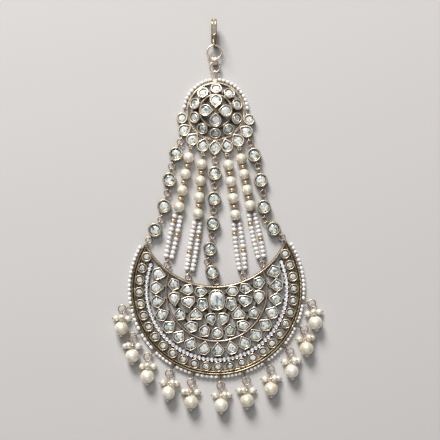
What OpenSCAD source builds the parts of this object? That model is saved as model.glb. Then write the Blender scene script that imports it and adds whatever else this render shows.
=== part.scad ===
// Jhoomar, a hair ornament, lying on its back. A domed medallion and a large crescent, both pierced
// and set with foil-backed stones, are joined by three chains of round settings and four strings of
// pearls. Eleven pearl drops hang from the crescent. Millimetres, +Y towards the hair hook, +Z up.
// Places are given about the centre of the crescent's outer rim, and the whole is moved at the end
// so that the origin is the middle of the underside of its bounding box.

/* [Crescent] */
// Radius of the outer rim, to the middle of its band
rim_r = 33.25; // [33.15:0.05:33.35]
// Width of the outer rim band
rim_w = 1.5; // [1.4:0.05:1.6]
// Height of the crescent's wires above its back
wire_h = 1.9; // [1.7:0.1:2]
// Radius of the concave upper edge
concave_r = 31.1; // [31:0.05:31.2]
// How far the centre of the concave edge lies above the centre of the rim
concave_rise = 32.1; // [32:0.05:32.2]
// Radius of the arc of wire between the kite row and the stone field
arc_r = 20.2; // [20.1:0.05:20.3]
// How far the whole crescent is turned to the left as it lies
crescent_turn = 1.2; // [0:0.1:2]

/* [Settings] */
// Height of the settings of the crescent
collet_h = 2.4; // [2.3:0.05:2.6]
// Thickness of a setting's wall
collet_wall = 0.45; // [0.4:0.05:0.5]
// Height of the floor inside a setting, under its stone
pocket_floor = 1; // [0.9:0.05:1.1]
// Gap all round a stone in its setting
stone_gap = 0.08; // [0.05:0.01:0.1]
// Number of round stones along the border
border_count = 27; // [25:2:27]
// Radius of the circle of border stones
border_r = 30.9; // [30.8:0.05:31]
// Outside diameter of a border setting
border_d = 3.9; // [3.8:0.05:4]
// Number of kite-cut stones
kite_count = 17; // [15:2:17]
// Radius of the circle of kite-cut stones
kite_r = 24.05; // [24:0.05:24.1]
// Radius of the row of tiny crystals
crystal_r = 28.1; // [28.05:0.05:28.15]
// Diameter of the row of tiny crystals
crystal_d = 1.5; // [1.3:0.05:1.5]

/* [Medallion] */
// Radius of the medallion's rim, to the middle of its band
dome_rim_r = 11.25; // [11.2:0.05:11.3]
// How much the dome rises from its rim to its middle
dome_rise = 4; // [3.6:0.1:4.2]
// Number of round stones on the dome
dome_round_count = 10; // [8:1:10]
// Diameter of a round setting on the dome
dome_round_d = 4.5; // [4.2:0.1:4.5]
// Width of a petal of the fringe
petal_w = 4.8; // [4.5:0.1:4.8]
// How far the whole medallion is turned to the right as it lies
medallion_turn = 1.3; // [0:0.1:2]

/* [Chains] */
// Outside diameter of a round chain setting
unit_d = 5.5; // [5.3:0.1:5.6]
// Height of a round chain setting
unit_h = 2.8; // [2.7:0.1:3]
// Radius of a jump ring, to the middle of its wire
link_r = 1.2; // [1.15:0.05:1.25]
// Radius of the wire of a jump ring
link_wire = 0.25; // [0.2:0.01:0.26]
// Height at which the jump rings lie
link_z = 1.5; // [1.4:0.1:1.6]

/* [Pearls] */
// Diameter of a strand pearl
pearl_d = 4.4; // [4.2:0.1:4.5]
// Diameter of a drop pearl
drop_pearl_d = 5.6; // [5.4:0.1:5.7]
// Diameter of a small pearl in a drop's bunch
bunch_pearl_d = 2.6; // [2.4:0.1:2.6]
// Diameter of a seed pearl on the rims
rim_pearl_d = 1.6; // [1.5:0.05:1.6]
// Diameter of the seed-bead strings
seed_d = 2.2; // [2:0.1:2.2]

/* [Drops] */
// Distance from the crescent's centre to the middle of a drop's jump ring
drop_ring_at = 38.5; // [38.3:0.1:38.7]
// Radius of a drop's jump ring, to the middle of its wire
drop_ring_r = 1.55; // [1.5:0.05:1.6]
// Distance from the middle of a drop's jump ring to its pearl
drop_reach = 7.6; // [7.5:0.1:7.8]

/* [Hook] */
// Radius of the hair hook's bend, to the middle of its wire
hook_bend_r = 2.75; // [2.7:0.05:2.9]
// Radius of the hair hook's wire
hook_wire = 0.45; // [0.4:0.01:0.48]
// Distance between the two wires of the hair hook
hook_pair = 1.3; // [1.2:0.05:1.4]

/* [Hidden] */
$fn = 32;
fine = 144;
GOLD = "darkgoldenrod";
STONE = "lightcyan";
PEARL = "ivory";

// Soldered bars and dots
bar_h = 0.75;
bar_w = 0.8;
strip_w = 0.8;
arc_w = 0.6;
// Upright eyes that a jump ring passes through
eye_r = 0.65;
eye_wire = 0.22;
stem_r = 0.3;
stem_lap = 0.1;
// Overlap of two soldered pieces
seat = 0.25;
// Gap between a threaded end and what it hangs from
clear = 0.12;

// Crescent: places that follow from the driving sizes
tip_y = (concave_rise * concave_rise + rim_r * rim_r - concave_r * concave_r) / (2 * concave_rise);
tip_x = sqrt(rim_r * rim_r - tip_y * tip_y);
tip_angle = atan2(tip_y, tip_x);
concave_angle = atan2(concave_rise - tip_y, tip_x);
arc_drop = 0.4;
arc_rise = concave_rise + arc_drop;
arc_angle = asin((arc_rise * arc_rise + arc_r * arc_r - concave_r * concave_r) / (2 * arc_rise * arc_r));
border_pitch = 8.95;
kite_pitch = 13.3;
kite_w = 5.68;
kite_h = 6;
crystal_base_h = 0.6;
crystal_half_sweep = 113;
tip_post_r = 0.65;
tip_ring_turn = 28;
tip_eye_at = 1.2;
crystal_base_w = 1.7;
crystal_base_out = 0.12;
// Radius where the bars behind the kites meet the crystals' base
kite_bar_to = 27.6;
// Angles of the two ends of the row of seed pearls, and half the gap left at each drop
rim_pearl_ends = [147.5, 392.5];
rim_pearl_half_gap = 1.5;
rim_pearl_gap = 0.15;
// Distance from the concave edge's centre to the eyes on it
concave_eye_r = concave_r - 0.8;

// Field of mixed cuts, right half: cut, x, y, width, height, turn
CUT = 0;
AT_X = 1;
AT_Y = 2;
WIDE = 3;
HIGH = 4;
TURN = 5;
field = [
    ["pentagon", 17.0,   2.5, 5.1, 5.3, -15],
    ["leaf",     11.9,   0.2, 5.8, 4.8,   0],
    ["marquise",  6.2,  -0.7, 5.7, 4.4, 180],
    ["shield",   16.9,  -3.3, 4.9, 6.4,  -6],
    ["shield",   11.3,  -4.8, 6.2, 5.3,  -8],
    ["pentagon",  5.7,  -5.9, 5.1, 6.0, 186],
    ["pentagon", 14.8,  -9.5, 5.0, 5.3,  -8],
    ["trillion",  8.5,  -9.6, 6.1, 5.4,   0],
    ["shield",    2.4, -11.8, 4.8, 5.7, -14],
    ["leaf",     10.6, -14.5, 6.0, 5.1,  20],
    ["pentagon",  5.1, -16.3, 4.9, 5.4,   4]];
// Pairs of field stones that a solder bar joins, by row of the table above
field_bars = [[0, 1], [1, 2], [0, 3], [1, 4], [3, 4], [4, 5], [2, 5], [3, 6], [4, 7], [6, 7],
    [5, 7], [5, 8], [7, 8], [6, 9], [7, 9], [8, 10], [9, 10]];
center_at = [0, -4.1];
center_w = 6.6;
center_h = 8.5;
last_round_at = [0, -17.4];
last_round_d = 4.8;

// Drops: angle of the eye on the rim, lean of the drop to the right, and the side of the bunch on which
// two of its pearls lie: -1 left, 1 right, 0 neither
EYE = 0;
LEAN = 1;
PAIR = 2;
drops = [[190.5, -2, 0], [208, 0, -1], [223.2, -1, 0], [239.5, -3, 1], [253.6, -1, -1],
    [271.4, 1, 1], [287, 1, -1], [302.8, 2, 1], [318.5, 5, 1], [334.5, 6, 1], [350.4, 10, 0]];
// Small pearls of a bunch: how far across the pin and above it each one lies
bunch_plan = [[-2.35, -0.5], [2.35, -0.5], [0, 1.95]];
bunch_pair_plan = [[-2.35, -0.5], [2.86, -0.5], [1.45, 1.85]];
drop_count = len(drops);
drop_end = 3.7;
bunch_at = 3.98;
bunch_ring_r = 0.65;
bunch_wire = 0.17;
bunch_pin_r = 0.14;
pin_r = 0.25;
pin_head_r = 0.3;
bunch_head_up = (bunch_pearl_d + pin_head_r) / 2;
cap_r = 0.8;
cap_h = 0.7;
cap_gap = 0.1;
bore_r = 0.42;

// Medallion
medallion_at = [-0.3, 71.3];
dome_r = (dome_rim_r * dome_rim_r + dome_rise * dome_rise) / (2 * dome_rise);
dome_base_z = 0.9;
dome_rim_w = 1;
dome_rim_h = 1.1;
dome_rim_bead = 0.33;
dome_ring_at = 6.4;
dome_ring_down = 0.55;
dome_ring_wire = 0.36;
dome_round_at = 8.75;
dome_tear_at = 4.02;
dome_tear_w = 4.9;
dome_tear_reach = 3.35;
dome_collet_top = 0.6;
dome_collet_low = -1.5;
dome_pocket = -0.5;
dome_stone_low = dome_pocket + 0.05;
dome_stone_top = dome_collet_top - 0.15;
petal_pitch = 19.3;
petal_at = 14.8;
petal_reach = 3.4;
petal_h = 2.6;
petal_round_at = 13.8;
petal_round_d = 4.4;
almond_w = 4.8;
almond_reach = 3.15;
almond_at = 14.57;
almond_base = 2.8;
petal_band_at = 14.7;
petal_band_half = 3.6 * petal_pitch;
spoke_low = -1.2;
spoke_h = 0.6;
spoke_from = -2.65;
spoke_to = 2.85;
boss_r = 1.5;
boss_h = 0.7;
boss_down = 1.3;
rim_pearls_at = 12.7;
top_z = 2;
// How far the top block and the fittings above it stand to the left of the medallion's axis
top_turn = 2.8;
top_block = [1.4, 2, 1.9];
top_block_z = 0.3;
top_stem_r = 0.4;
top_eye_at = 15.56;
top_eye_r = 0.78;
top_eye_wire = 0.3;

// Eyes under the fringe: angle from straight down, distance from the middle, petal that carries it,
// heading of an upright eye (the eyes of the strands lie flat and have none)
OFF = 0;
OUT = 1;
PETAL = 2;
HEADING = 3;
FLAT = 0;
fringe_eyes = [
    [-50.0, 17.7, -3, -110],
    [-33.5, 17.7, -2, FLAT],
    [-15.6, 18.0, -1, FLAT],
    [  0.6, 18.5,  0,  -90],
    [ 15.6, 18.0,  1, FLAT],
    [ 33.5, 17.7,  2, FLAT],
    [ 50.0, 17.7,  3,  -70]];

// Chains: fringe eye that each hangs from, then the middle of each jump ring between two settings
LEFT = 0;
CENTER = 1;
RIGHT = 2;
chain_eye = [0, 3, 6];
chain_rings_at = [
    [[-18.0, 49.3], [-19.7, 38.7], [-22.2, 28.0]],
    [[-0.9, 41.4], [-1.2, 31.5], [-1.8, 21.5], [-3.6, 11.1]],
    [[16.6, 49.2], [18.6, 38.4], [19.2, 27.8]]];
unit_floor = 1.2;
unit_wall = 0.55;

// Strands: fringe eye, place of the last pearl, angle of the eye on the concave edge
FROM = 0;
LAST = 1;
INTO = 2;
strands = [[1, [-14.9, 33.0], 228], [2, [-7.4, 30.3], 247.5], [4, [7.5, 29.8], 291.8],
    [5, [13.4, 33.6], 309.8]];
strand_pearls = 4;
strand_first = 4.1;
strand_eye_z = 2.2;
gold_bead_d = 2;
gold_bead_l = 1.5;
thread_r = 0.2;
fork_r = 0.14;
knot_r = 0.38;
loop_r = 0.6;
fork_from = 2.65;
seed_from = 3.15;
seed_part = 1.15;
seed_bow = 0.25;
seed_to = 2.45;

// Top fittings
hook_ring_r = 2.84;
hook_ring_wire = 0.36;
lower_ring_r = 2;
lower_ring_wire = 0.28;
band_link_r = 1.9;
band_link_half = 0.62;
band_link_wire = 0.38;
band_link_web = 0.5;
link_slack = 0.55;
hook_x = -1;
hook_eye_r = 0.86;
hook_eye_wire = 0.34;
hook_collar_r = 1.05;
hook_collar_l = 1.5;
hook_collar_lap = 0.1;
hook_shank = 4.6;
hook_return = 3;

// Geometry helpers
function polar(r, a) = [r * cos(a), r * sin(a)];
function turned(p, a) = [p.x * cos(a) - p.y * sin(a), p.x * sin(a) + p.y * cos(a)];
function lifted(p, z) = [p.x, p.y, z];
function unit(v) = v / norm(v);
function heading(v) = atan2(v.y, v.x);
function on_crescent(p) = turned(p, crescent_turn);
function on_concave(r, a) = on_crescent([0, concave_rise] + polar(r, a));
function on_medallion(r, a) = medallion_at + polar(r, a - medallion_turn);

// Outlines of the cuts, about the middle of the stone, counterclockwise
function corners(cut) =
    cut == "kite" ? [[0, 1.1], [-1, -0.05], [-0.42, -0.85], [0.42, -0.85], [1, -0.05]] :
    cut == "shield" ? [[0, 0.95], [-0.95, 0.7], [-0.85, -0.15], [0, -1], [0.85, -0.15], [0.95, 0.7]] :
    cut == "marquise" ? [[1, 0], [0.3, 0.9], [-0.5, 0.95], [-1, 0.1], [-0.7, -0.85], [0.3, -0.9]] :
    cut == "leaf" ? [[1, -0.2], [0.3, 0.85], [-0.75, 0.95], [-1, -0.3], [-0.2, -1]] :
    cut == "trillion" ? [[0, 1], [-0.95, -0.15], [-0.75, -0.85], [0.8, -0.8], [1, -0.1]] :
    [[0, 1], [-0.95, 0.35], [-0.7, -0.85], [0.55, -0.95], [1, 0.25]];
function cut_off(c, share = 0.08) =
    [for (i = [0 : len(c) - 1], side = [-1, 1]) c[i] + share * (c[(i + side + len(c)) % len(c)] - c[i])];
function cushion(w, h, n = 16, power = 0.72) =
    [for (i = [0 : n - 1]) let (a = (i + 0.5) * 360 / n)
        [sign(cos(a)) * pow(abs(cos(a)), power) * w / 2, sign(sin(a)) * pow(abs(sin(a)), power) * h / 2]];
function teardrop(w, reach, n = 11) = let (r = w / 2, open = acos(r / reach))
    concat([[0, reach]], [for (i = [0 : n - 1]) polar(r, 90 + open + i * (360 - 2 * open) / (n - 1))]);
function almond(w, reach, n = 5) = let (r = w / 2, open = acos(r / reach))
    [for (side = [0, 180]) each concat([polar(reach, 90 + side)],
        [for (i = [0 : n - 1]) polar(r, side + 90 + open + i * (180 - 2 * open) / (n - 1))])];
function round_cut(d, n = 12) = [for (i = [0 : n - 1]) polar(d / 2, (i + 0.5) * 360 / n)];
function mixed(cut, w, h) = [for (p = cut_off(corners(cut))) [p.x * w / 2, p.y * h / 2]];
function shrunk(points, w, by) = [for (p = points) p * (1 - 2 * by / w)];

// Places along the drops
function ring_center(k) = on_crescent(polar(drop_ring_at, drops[k][EYE]));
function drop_dir(k) = polar(1, drops[k][LEAN] - 90);
function pin_start(k) = lifted(ring_center(k) + (drop_ring_r + loop_r) * drop_dir(k), link_z);
function pearl_center(k) = lifted(ring_center(k) + drop_reach * drop_dir(k), drop_pearl_d / 2);
function pin_dir(k) = unit(pearl_center(k) - pin_start(k));
function pin_end(k) = pearl_center(k) + drop_end * pin_dir(k);
function bunch_center(k) = pearl_center(k) - bunch_at * pin_dir(k);
function side_dir(k) = lifted(polar(1, drops[k][LEAN]), 0);
function bunch_place(k, i) = let (pair = drops[k][PAIR])
    pair == 0 ? bunch_plan[i] : [pair * bunch_pair_plan[i].x, bunch_pair_plan[i].y];
function bunch_offset(k, i) = let (p = bunch_place(k, i))
    p.x * side_dir(k) + p.y * cross(pin_dir(k), side_dir(k));
function bunch_pearl_at(k, i) = bunch_center(k) + bunch_offset(k, i);
function bunch_head_at(k, i) = bunch_pearl_at(k, i) + bunch_head_up * unit(bunch_offset(k, i));

// Places along the strands
function strand_eye(s) = let (e = fringe_eyes[strands[s][FROM]]) on_medallion(e[OUT], 270 + e[OFF]);
function strand_dir(s) = unit(strands[s][LAST] - strand_eye(s));
function strand_side(s) = turned(strand_dir(s), 90);
function strand_pitch(s) = (norm(strands[s][LAST] - strand_eye(s)) - strand_first) / (strand_pearls - 1);
function strand_at(s, d) = lifted(strand_eye(s) + d * strand_dir(s), strand_eye_z);
function strand_last(s, d) = strands[s][LAST] + d * strand_dir(s);
function strand_ring(s) = on_concave(concave_eye_r - link_r, strands[s][INTO]);
function seed_top(s, side) = strand_last(s, seed_from) + side * seed_part * strand_side(s);
function seed_up(s) = unit(strand_last(s, seed_from) - strand_ring(s));
function seed_bottom(s, side) = strand_ring(s) + seed_to * seed_up(s)
    - side * seed_part * turned(seed_up(s), 90);
function seed_route(s, side, n = 5) = [for (i = [0 : n - 1]) let (t = i / (n - 1))
    lifted((1 - t) * seed_top(s, side) + t * seed_bottom(s, side)
        + side * seed_bow * sin(180 * t) * strand_side(s), seed_d / 2)];

// Places along the chains
function chain_start(c) = let (e = fringe_eyes[chain_eye[c]]) on_medallion(e[OUT], 270 + e[OFF]);
function tip_ring(side) = on_crescent([side * tip_x, tip_y]
    + (link_r + tip_eye_at) * [-side * sin(tip_ring_turn), cos(tip_ring_turn)]);
function chain_end(c) = c == CENTER ? on_concave(concave_eye_r - link_r, 270)
    : tip_ring(c == LEFT ? -1 : 1);
function chain_points(c) = concat([chain_start(c) + link_r * unit(chain_rings_at[c][0] - chain_start(c))],
    chain_rings_at[c], [chain_end(c)]);

// Places of the top fittings, each from the one below it
top_at = on_medallion(top_eye_at, 90 + top_turn);
top_lean = top_turn - medallion_turn;
top_dir = polar(1, 90 + top_lean);
lower_ring_at = top_at + lower_ring_r * top_dir;
band_link_at = lower_ring_at + (lower_ring_r + link_slack) * top_dir;
hook_ring_at = band_link_at + (link_slack + hook_ring_r) * top_dir;
hook_eye_at = hook_ring_at + hook_ring_r * top_dir;
hook_collar_y = hook_eye_at.y + hook_eye_r - hook_collar_lap;
hook_bend_y = hook_collar_y + hook_collar_l + hook_shank;

// The whole, moved so that the origin is at the middle of the underside of the bounding box
heads_x = [for (k = [0 : drop_count - 1], i = [0 : 2]) bunch_head_at(k, i).x];
reach_left = min(heads_x) - pin_head_r;
reach_right = max(heads_x) + pin_head_r;
reach_top = hook_bend_y + hook_bend_r + hook_wire;
reach_low = min([for (k = [0 : drop_count - 1]) pin_end(k).y - pin_r * sqrt(1 - pow(pin_dir(k).y, 2))]);
middle = [(reach_left + reach_right) / 2, (reach_top + reach_low) / 2];

module placed() translate([-middle.x, -middle.y, 0]) children();
module ring(r, wire) rotate_extrude() translate([r, 0]) circle(wire);
module flat_ring(p, z, r, wire) translate(lifted(p, z)) ring(r, wire);
module upright_loop(p, z, along, r, wire) translate(lifted(p, z)) rotate([90, 0, along]) ring(r, wire);
module rod(p, q, r) let (d = q - p)
    translate(p) rotate([0, acos(d.z / norm(d)), atan2(d.y, d.x)]) cylinder(h = norm(d), r = r);
module on_rod(p, dir) translate(p) rotate([0, acos(dir.z), atan2(dir.y, dir.x)]) children();
module each_half() for (side = [0, 1]) mirror([side, 0, 0]) children();
module about_center(r, a) rotate(a) translate([r, 0]) rotate(90) children();
module arc_band(r, w, from, sweep, h) rotate([0, 0, from]) rotate_extrude(angle = sweep, $fn = fine)
    translate([r - w / 2, 0]) square([w, h]);

// A stone cut with a table: flat back, girdle, crown of flat facets, table
module cut_stone(points, low, top) {
    n = len(points);
    girdle = low + 0.4 * (top - low);
    layers = [[0.9, low], [1, girdle], [0.56, top]];
    polyhedron(
        points = [for (l = layers, p = points) [p.x * l[0], p.y * l[0], l[1]]],
        faces = concat([[for (i = [0 : n - 1]) i]], [[for (i = [n - 1 : -1 : 0]) 2 * n + i]],
            [for (j = [0, 1], i = [0 : n - 1]) let (m = (i + 1) % n)
                [j * n + i, (j + 1) * n + i, (j + 1) * n + m, j * n + m]]));
}

// A tube swept along a route, with eight flat sides
module tube(route, r, sides = 8) {
    n = len(route);
    rings = [for (i = [0 : n - 1]) let (
            d = unit(route[min(i + 1, n - 1)] - route[max(i - 1, 0)]),
            across = unit([-d.y, d.x, 0]), up = cross(d, across))
        for (s = [0 : sides - 1]) let (a = (s + 0.5) * 360 / sides)
            route[i] + r * (cos(a) * across + sin(a) * up)];
    polyhedron(points = rings, faces = concat(
        [[for (s = [0 : sides - 1]) s]], [[for (s = [sides - 1 : -1 : 0]) (n - 1) * sides + s]],
        [for (i = [0 : n - 2], s = [0 : sides - 1]) let (m = (s + 1) % sides)
            [i * sides + m, i * sides + s, (i + 1) * sides + s, (i + 1) * sides + m]]));
}
module arc_tube(r, z, d, from, to, step = 7) {
    n = max(2, ceil((to - from) / step) + 1);
    tube([for (i = [0 : n - 1]) lifted(polar(r, from + i * (to - from) / (n - 1)), z)], d / 2);
}

// Settings of the crescent, drawn flat
module field_place(f) translate([f[AT_X], f[AT_Y]]) rotate(f[TURN]) children();
module field_flat(by) each_half() for (f = field)
    field_place(f) polygon(shrunk(mixed(f[CUT], f[WIDE], f[HIGH]), min(f[WIDE], f[HIGH]), by));
module center_flat(by) translate(center_at) polygon(shrunk(cushion(center_w, center_h), center_w, by));
module last_round_flat(by) translate(last_round_at) circle(d = last_round_d - 2 * by);
module kites_flat(by) for (i = [0 : kite_count - 1])
    about_center(kite_r, 270 + kite_pitch * (i - (kite_count - 1) / 2))
        polygon(shrunk(mixed("kite", kite_w, kite_h), kite_w, by));
module border_flat(by) for (i = [0 : border_count - 1])
    rotate(270 + border_pitch * (i - (border_count - 1) / 2)) translate([border_r, 0])
        circle(d = border_d - 2 * by);

// Solder bars that join the settings
module bar(p, q) let (d = q - p) translate(p) rotate(heading(d)) translate([0, -bar_w / 2])
    square([norm(d), bar_w]);
module bars() {
    at = function (i) [field[i][AT_X], field[i][AT_Y]];
    each_half() for (b = field_bars) bar(at(b[0]), at(b[1]));
    each_half() for (i = [2, 5, 8]) bar(at(i), center_at);
    each_half() bar(at(10), last_round_at);
    each_half() for (i = [0, 1, 2])
        bar(at(i), [0, concave_rise] + concave_r * unit(at(i) - [0, concave_rise]));
    bar(center_at, [0, concave_rise - concave_r]);
    each_half() for (i = [0, 3, 6, 9, 10])
        bar(at(i), [0, -arc_drop] + arc_r * unit(at(i) + [0, arc_drop]));
    bar(last_round_at, [0, -arc_drop - arc_r]);
    for (i = [0 : kite_count - 1]) rotate(270 + kite_pitch * (i - (kite_count - 1) / 2))
        translate([arc_r, -bar_w / 2]) square([kite_bar_to - arc_r, bar_w]);
}

module rim_profile() {
    groove = 0.4;
    ridge = (rim_w - groove) / 2;
    translate([rim_r - rim_w / 2, 0]) {
        square([rim_w, wire_h - 0.7]);
        for (x = [0, ridge + groove]) {
            translate([x, 0]) square([ridge, wire_h]);
            translate([x + ridge / 2, wire_h]) circle(ridge / 2 - 0.03);
        }
    }
}

// An upright eye on a stem, from a soldered base to the middle of the eye
module stemmed_eye(base, eye, z, along) {
    d = unit(eye - base);
    rod(lifted(base, z), lifted(eye - (eye_r - stem_lap) * d, z), stem_r);
    upright_loop(eye, z, along, eye_r, eye_wire);
}

module crescent_wires() {
    kite_half = kite_pitch * (kite_count - 1) / 2;
    rotate([0, 0, 180 - tip_angle]) rotate_extrude(angle = 180 + 2 * tip_angle, $fn = fine) rim_profile();
    translate([0, concave_rise, 0])
        arc_band(concave_r, strip_w, 180 + concave_angle, 180 - 2 * concave_angle, wire_h);
    translate([0, -arc_drop, 0]) arc_band(arc_r, arc_w, 180 - arc_angle, 180 + 2 * arc_angle, wire_h);
    arc_band(crystal_r + crystal_base_out, crystal_base_w, 269 - crystal_half_sweep,
        2 * crystal_half_sweep + 2, crystal_base_h);
    arc_band(kite_r + 0.2, bar_w, 270 - kite_half, 2 * kite_half, bar_h);
}
module crescent_eyes() {
    for (side = [-1, 1]) let (tip = [side * tip_x, tip_y], a = 90 + side * tip_ring_turn) {
        translate(tip) cylinder(h = wire_h, r = tip_post_r);
        upright_loop(tip + polar(tip_eye_at, a), link_z, a, eye_r, eye_wire);
    }
    for (a = concat([270], [for (s = strands) s[INTO]]))
        upright_loop([0, concave_rise] + polar(concave_eye_r, a), link_z, a, eye_r, eye_wire);
    for (d = drops) stemmed_eye(polar(rim_r + rim_w / 2 - seat, d[EYE]),
        polar(drop_ring_at - drop_ring_r, d[EYE]), link_z, d[EYE]);
}
module crescent_frame() color(GOLD) rotate([0, 0, crescent_turn]) {
    difference() {
        union() {
            linear_extrude(bar_h) bars();
            linear_extrude(collet_h) {
                field_flat(0);
                center_flat(0);
                last_round_flat(0);
                kites_flat(0);
                border_flat(0);
            }
            crescent_wires();
        }
        translate([0, 0, pocket_floor]) linear_extrude(collet_h) {
            field_flat(collet_wall);
            center_flat(collet_wall);
            last_round_flat(collet_wall);
            kites_flat(collet_wall);
            border_flat(collet_wall);
        }
    }
    crescent_eyes();
}

// Stones of the crescent
stone_low = pocket_floor + 0.05;
stone_top = collet_h - 0.2;
stone_by = collet_wall + stone_gap;
module crescent_border_stones() color(STONE) rotate([0, 0, crescent_turn])
    for (i = [0 : border_count - 1]) rotate(270 + border_pitch * (i - (border_count - 1) / 2))
        translate([border_r, 0, 0]) cut_stone(round_cut(border_d - 2 * stone_by, 10), stone_low, stone_top);
module crescent_kite_stones() color(STONE) rotate([0, 0, crescent_turn])
    for (i = [0 : kite_count - 1]) about_center(kite_r, 270 + kite_pitch * (i - (kite_count - 1) / 2))
        cut_stone(shrunk(mixed("kite", kite_w, kite_h), kite_w, stone_by), stone_low, stone_top);
module crescent_field_stones() color(STONE) rotate([0, 0, crescent_turn]) {
    each_half() for (f = field) field_place(f)
        cut_stone(shrunk(mixed(f[CUT], f[WIDE], f[HIGH]), min(f[WIDE], f[HIGH]), stone_by),
            stone_low, stone_top);
    translate(last_round_at) cut_stone(round_cut(last_round_d - 2 * stone_by), stone_low, stone_top);
}
module crescent_center_stone() color(STONE) rotate([0, 0, crescent_turn]) translate(center_at)
    cut_stone(shrunk(cushion(center_w, center_h), center_w, stone_by), stone_low, stone_top + 0.3);
module crescent_crystal_row() color("white") rotate([0, 0, crescent_turn])
    arc_tube(crystal_r, crystal_base_h + 0.05 + crystal_d / 2, crystal_d,
        270 - crystal_half_sweep, 270 + crystal_half_sweep);
module crescent_rim_pearls() color(PEARL) rotate([0, 0, crescent_turn]) {
    stops = concat([rim_pearl_ends[0]], [for (d = drops) d[EYE]], [rim_pearl_ends[1]]);
    for (i = [0 : len(stops) - 2])
        arc_tube(rim_r + rim_w / 2 + rim_pearl_gap + rim_pearl_d / 2, rim_pearl_d / 2, rim_pearl_d,
            stops[i] + rim_pearl_half_gap, stops[i + 1] - rim_pearl_half_gap);
}

// Medallion
function dome_z(r) = dome_base_z + sqrt(dome_r * dome_r - r * r) - (dome_r - dome_rise);
module on_dome(r, a) rotate([0, 0, a]) translate([r, 0, dome_z(r)]) rotate([0, asin(r / dome_r), 0])
    rotate([0, 0, 90]) children();
function fringe_at(i) = i == 0 ? almond_at : abs(i) == 4 ? petal_round_at : petal_at;
module fringe_place(i) rotate([0, 0, 270 + petal_pitch * i])
    translate([fringe_at(i), 0, 0]) rotate([0, 0, 90]) children();
function fringe_cut(i, by) = abs(i) == 4 ? round_cut(petal_round_d - 2 * by)
    : i == 0 ? shrunk(almond(almond_w, almond_reach), almond_w, by)
    : shrunk(teardrop(petal_w, petal_reach), petal_w, by);
module placed_medallion() translate(medallion_at) rotate([0, 0, -medallion_turn]) children();

function dome_tear(by) = shrunk(teardrop(dome_tear_w, dome_tear_reach), dome_tear_w, by);

// The dome's lattice: spokes under the round settings, and a boss where the four tips meet
module dome_lattice() {
    rotate_extrude() {
        translate([dome_rim_r - dome_rim_w / 2, 0]) square([dome_rim_w, dome_rim_h]);
        translate([dome_rim_r, dome_rim_h]) circle(dome_rim_bead);
    }
    translate([0, 0, dome_z(dome_ring_at) - dome_ring_down]) ring(dome_ring_at, dome_ring_wire);
    for (i = [0 : dome_round_count - 1]) rotate([0, 0, 90 + i * 360 / dome_round_count])
        translate([dome_round_at, 0, dome_z(dome_round_at)]) rotate([0, asin(dome_round_at / dome_r), 0])
            translate([spoke_from, -bar_w / 2, spoke_low]) cube([spoke_to - spoke_from, bar_w, spoke_h]);
    translate([0, 0, dome_z(0) - boss_down]) cylinder(h = boss_h, r = boss_r);
}
module dome_settings() {
    tall = dome_collet_top - dome_collet_low;
    for (i = [0 : dome_round_count - 1]) on_dome(dome_round_at, 90 + i * 360 / dome_round_count)
        difference() {
            translate([0, 0, dome_collet_low]) cylinder(h = tall, d = dome_round_d);
            translate([0, 0, dome_pocket]) cylinder(h = tall, d = dome_round_d - 2 * collet_wall);
        }
    for (i = [0 : 3]) on_dome(dome_tear_at, 90 * i) difference() {
        translate([0, 0, dome_collet_low]) linear_extrude(tall) polygon(dome_tear(0));
        translate([0, 0, dome_pocket]) linear_extrude(tall) polygon(dome_tear(collet_wall));
    }
}
module fringe_settings() {
    difference() {
        union() {
            for (i = [-4 : 4]) fringe_place(i) linear_extrude(petal_h) polygon(fringe_cut(i, 0));
            arc_band(petal_band_at, bar_w, 270 - petal_band_half, 2 * petal_band_half, bar_h);
            for (i = [-4, 4]) rotate([0, 0, 270 + petal_pitch * i])
                translate([dome_rim_r, -bar_w / 2, 0]) cube([2, bar_w, bar_h]);
        }
        for (i = [-4 : 4]) fringe_place(i) translate([0, 0, pocket_floor])
            linear_extrude(petal_h) polygon(fringe_cut(i, collet_wall));
    }
}
// Eyes under the fringe: upright for the chains' jump rings, flat for the loops of the strands
module fringe_eye(e) {
    z = e[HEADING] == FLAT ? strand_eye_z : link_z;
    at = polar(e[OUT], 270 + e[OFF]);
    petal = polar(fringe_at(e[PETAL]), 270 + petal_pitch * e[PETAL]);
    base = petal + (e[PETAL] == 0 ? almond_base : petal_w / 2 - seat) * unit(at - petal);
    rod(lifted(base, z), lifted(at - (eye_r - stem_lap) * unit(at - petal), z), stem_r);
    if (e[HEADING] == FLAT) flat_ring(at, z, eye_r, eye_wire);
    else upright_loop(at, z, e[HEADING], eye_r, eye_wire);
}
module medallion_top() rotate([0, 0, top_turn]) {
    translate([-top_block.x / 2, dome_rim_r - seat, top_block_z]) cube(top_block);
    rod([0, dome_rim_r + top_block.y - 2 * seat, top_z],
        [0, top_eye_at - top_eye_r + stem_lap, top_z], top_stem_r);
    upright_loop([0, top_eye_at], top_z, 90, top_eye_r, top_eye_wire);
}
module medallion_frame() color(GOLD) placed_medallion() {
    dome_lattice();
    dome_settings();
    fringe_settings();
    for (e = fringe_eyes) fringe_eye(e);
    medallion_top();
}
module medallion_center_stones() color(STONE) placed_medallion() for (i = [0 : 3])
    on_dome(dome_tear_at, 90 * i) cut_stone(dome_tear(stone_by), dome_stone_low, dome_stone_top);
module medallion_round_stones() color(STONE) placed_medallion() for (i = [0 : dome_round_count - 1])
    on_dome(dome_round_at, 90 + i * 360 / dome_round_count)
        cut_stone(round_cut(dome_round_d - 2 * stone_by, 10), dome_stone_low, dome_stone_top);
module medallion_fringe_stones() color(STONE) placed_medallion() for (i = [-4 : 4])
    fringe_place(i) cut_stone(fringe_cut(i, stone_by), stone_low, petal_h - 0.2);
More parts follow.
